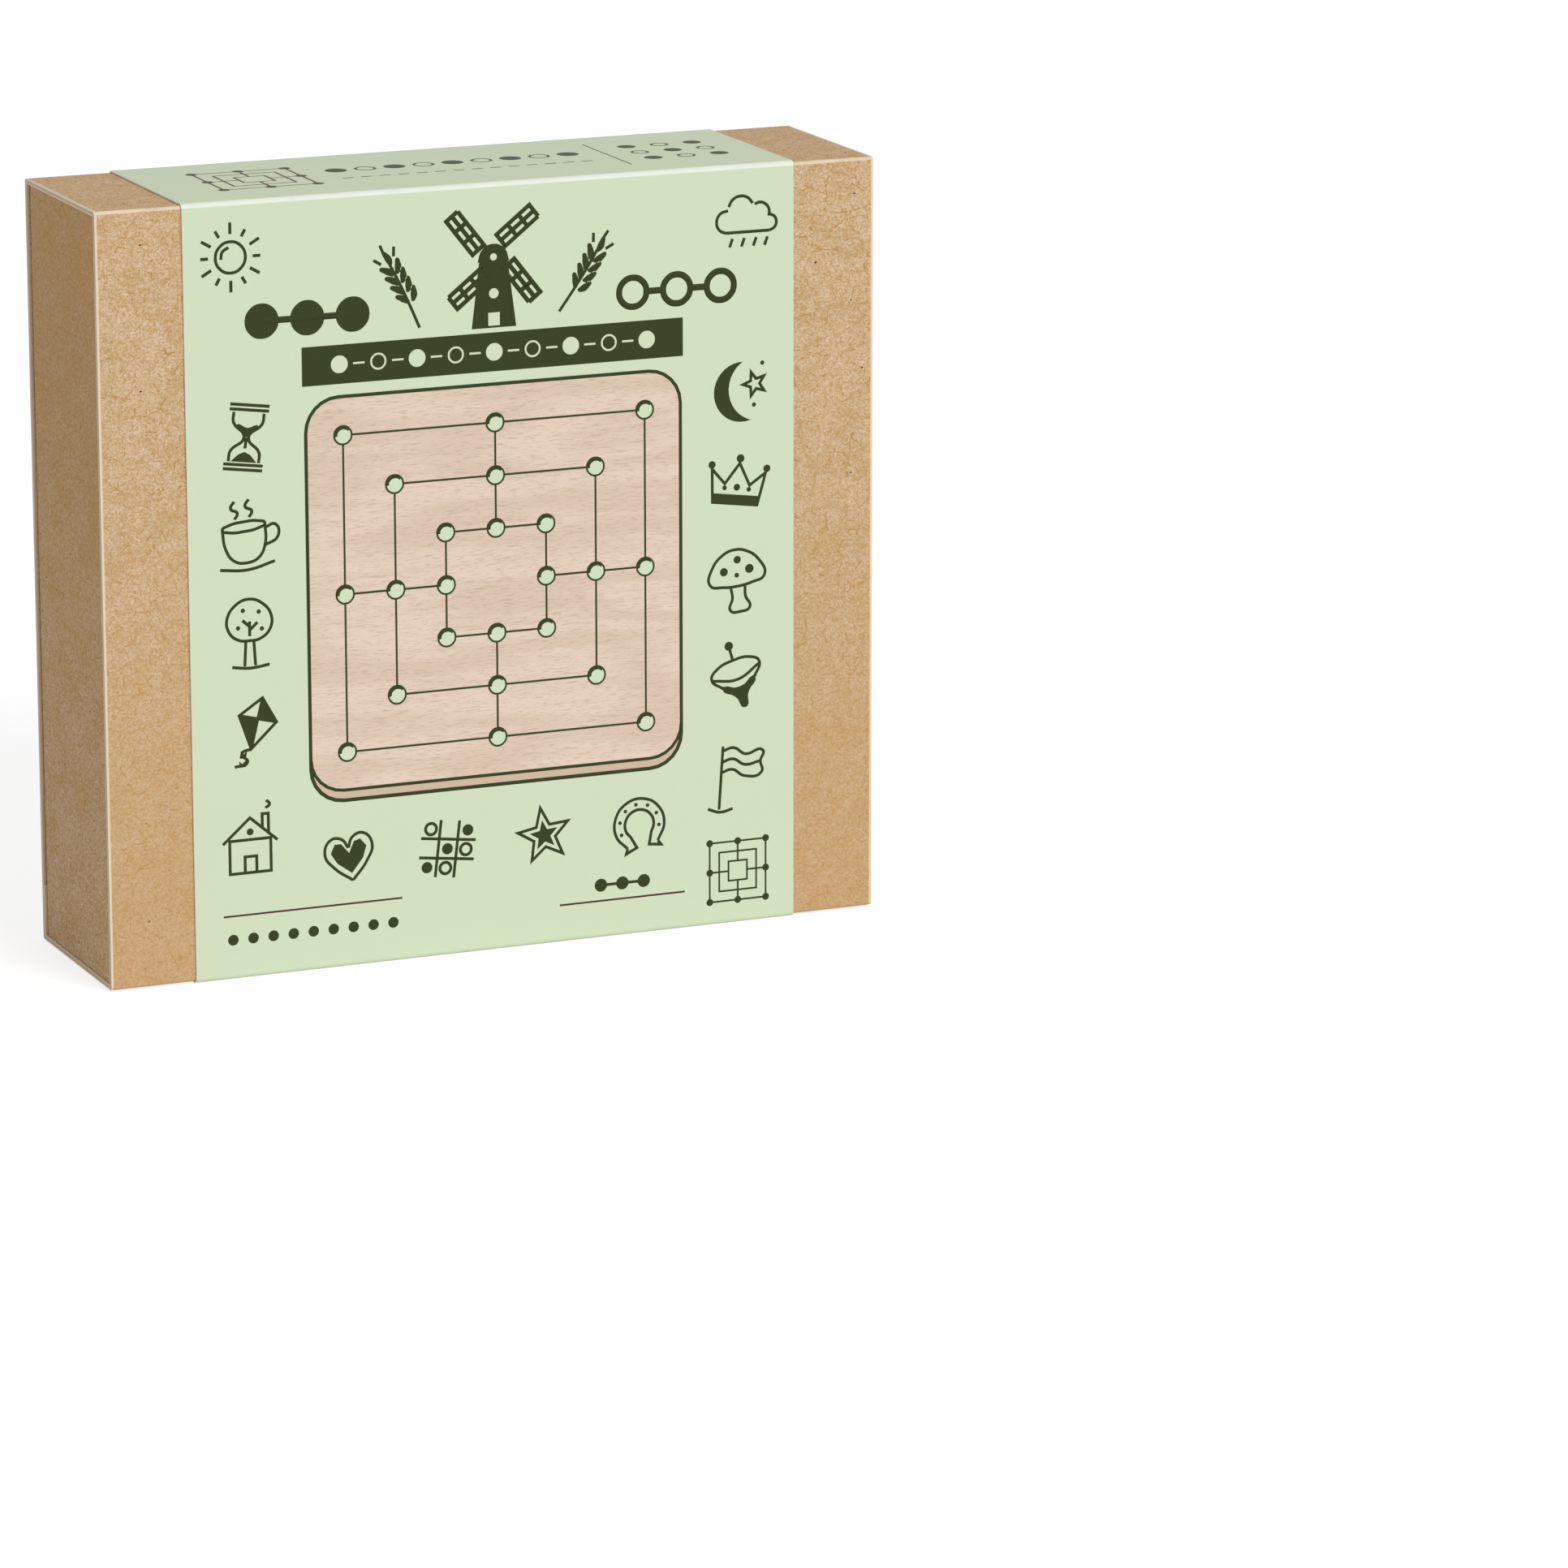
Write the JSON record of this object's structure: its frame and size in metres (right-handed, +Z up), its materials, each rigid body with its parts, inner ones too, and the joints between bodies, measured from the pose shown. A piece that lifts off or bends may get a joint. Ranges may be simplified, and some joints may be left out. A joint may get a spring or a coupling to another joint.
{
  "type": "board game box",
  "caption": "Upright kraft drawer box with a loose printed card band; inside, a folded insert carries a peg-hole board with nested squares, pegs and a leaflet.",
  "frame": {"origin": "middle of the footprint of the closed, upright box, on the surface that it stands on", "axes": "+Z up, +X towards the right end of the box as its printed front is seen, -Y out of the printed front"},
  "size_m": [0.252, 0.068, 0.24],
  "materials": {
    "kraft_board": "matte",
    "printed_card": "matte",
    "insert_card": "matte",
    "leaflet_paper": "matte",
    "birch_plywood": "satin",
    "red_paint": "satin",
    "black_paint": "matte"
  },
  "bodies": {
    "shell": {"outer_shell": "kraft_board"},
    "sleeve": {"sleeve": "printed_card"},
    "tray": {"tray": "kraft_board", "insert": "insert_card", "rules_leaflet": "leaflet_paper"},
    "board": {"board": "birch_plywood"},
    "red_peg_1": {"red_peg_1": "red_paint"},
    "red_peg_2": {"red_peg_2": "red_paint"},
    "red_peg_3": {"red_peg_3": "red_paint"},
    "red_peg_4": {"red_peg_4": "red_paint"},
    "red_peg_5": {"red_peg_5": "red_paint"},
    "red_peg_6": {"red_peg_6": "red_paint"},
    "red_peg_7": {"red_peg_7": "red_paint"},
    "red_peg_8": {"red_peg_8": "red_paint"},
    "red_peg_9": {"red_peg_9": "red_paint"},
    "black_peg_1": {"black_peg_1": "black_paint"},
    "black_peg_2": {"black_peg_2": "black_paint"},
    "black_peg_3": {"black_peg_3": "black_paint"},
    "black_peg_4": {"black_peg_4": "black_paint"},
    "black_peg_5": {"black_peg_5": "black_paint"},
    "black_peg_6": {"black_peg_6": "black_paint"},
    "black_peg_7": {"black_peg_7": "black_paint"},
    "black_peg_8": {"black_peg_8": "black_paint"},
    "black_peg_9": {"black_peg_9": "black_paint"}
  },
  "joints": [
    {"name": "tray_slide", "type": "slide", "parent": "shell", "child": "tray", "axis": [-1, 0, 0], "range_m": [-0.255, 0.255]},
    {"name": "sleeve_slide", "type": "slide", "parent": "shell", "child": "sleeve", "axis": [1, 0, 0], "range_m": [-0.23, 0.23]},
    {"name": "board_lift", "type": "slide", "parent": "tray", "child": "board", "axis": [0, -1, 0], "range_m": [0, 0.0055]},
    {"name": "red_peg_1_pull", "type": "slide", "parent": "board", "child": "red_peg_1", "axis": [0, -1, 0], "range_m": [0, 0.0048]},
    {"name": "red_peg_2_pull", "type": "slide", "parent": "board", "child": "red_peg_2", "axis": [0, -1, 0], "range_m": [0, 0.0048]},
    {"name": "red_peg_3_pull", "type": "slide", "parent": "board", "child": "red_peg_3", "axis": [0, -1, 0], "range_m": [0, 0.0048]},
    {"name": "red_peg_4_pull", "type": "slide", "parent": "board", "child": "red_peg_4", "axis": [0, -1, 0], "range_m": [0, 0.0048]},
    {"name": "red_peg_5_pull", "type": "slide", "parent": "board", "child": "red_peg_5", "axis": [0, -1, 0], "range_m": [0, 0.0048]},
    {"name": "red_peg_6_pull", "type": "slide", "parent": "board", "child": "red_peg_6", "axis": [0, -1, 0], "range_m": [0, 0.0048]},
    {"name": "red_peg_7_pull", "type": "slide", "parent": "board", "child": "red_peg_7", "axis": [0, -1, 0], "range_m": [0, 0.0048]},
    {"name": "red_peg_8_pull", "type": "slide", "parent": "board", "child": "red_peg_8", "axis": [0, -1, 0], "range_m": [0, 0.0048]},
    {"name": "red_peg_9_pull", "type": "slide", "parent": "board", "child": "red_peg_9", "axis": [0, -1, 0], "range_m": [0, 0.0048]},
    {"name": "black_peg_1_pull", "type": "slide", "parent": "board", "child": "black_peg_1", "axis": [0, -1, 0], "range_m": [0, 0.0048]},
    {"name": "black_peg_2_pull", "type": "slide", "parent": "board", "child": "black_peg_2", "axis": [0, -1, 0], "range_m": [0, 0.0048]},
    {"name": "black_peg_3_pull", "type": "slide", "parent": "board", "child": "black_peg_3", "axis": [0, -1, 0], "range_m": [0, 0.0048]},
    {"name": "black_peg_4_pull", "type": "slide", "parent": "board", "child": "black_peg_4", "axis": [0, -1, 0], "range_m": [0, 0.0048]},
    {"name": "black_peg_5_pull", "type": "slide", "parent": "board", "child": "black_peg_5", "axis": [0, -1, 0], "range_m": [0, 0.0048]},
    {"name": "black_peg_6_pull", "type": "slide", "parent": "board", "child": "black_peg_6", "axis": [0, -1, 0], "range_m": [0, 0.0048]},
    {"name": "black_peg_7_pull", "type": "slide", "parent": "board", "child": "black_peg_7", "axis": [0, -1, 0], "range_m": [0, 0.0048]},
    {"name": "black_peg_8_pull", "type": "slide", "parent": "board", "child": "black_peg_8", "axis": [0, -1, 0], "range_m": [0, 0.0048]},
    {"name": "black_peg_9_pull", "type": "slide", "parent": "board", "child": "black_peg_9", "axis": [0, -1, 0], "range_m": [0, 0.0048]}
  ]
}
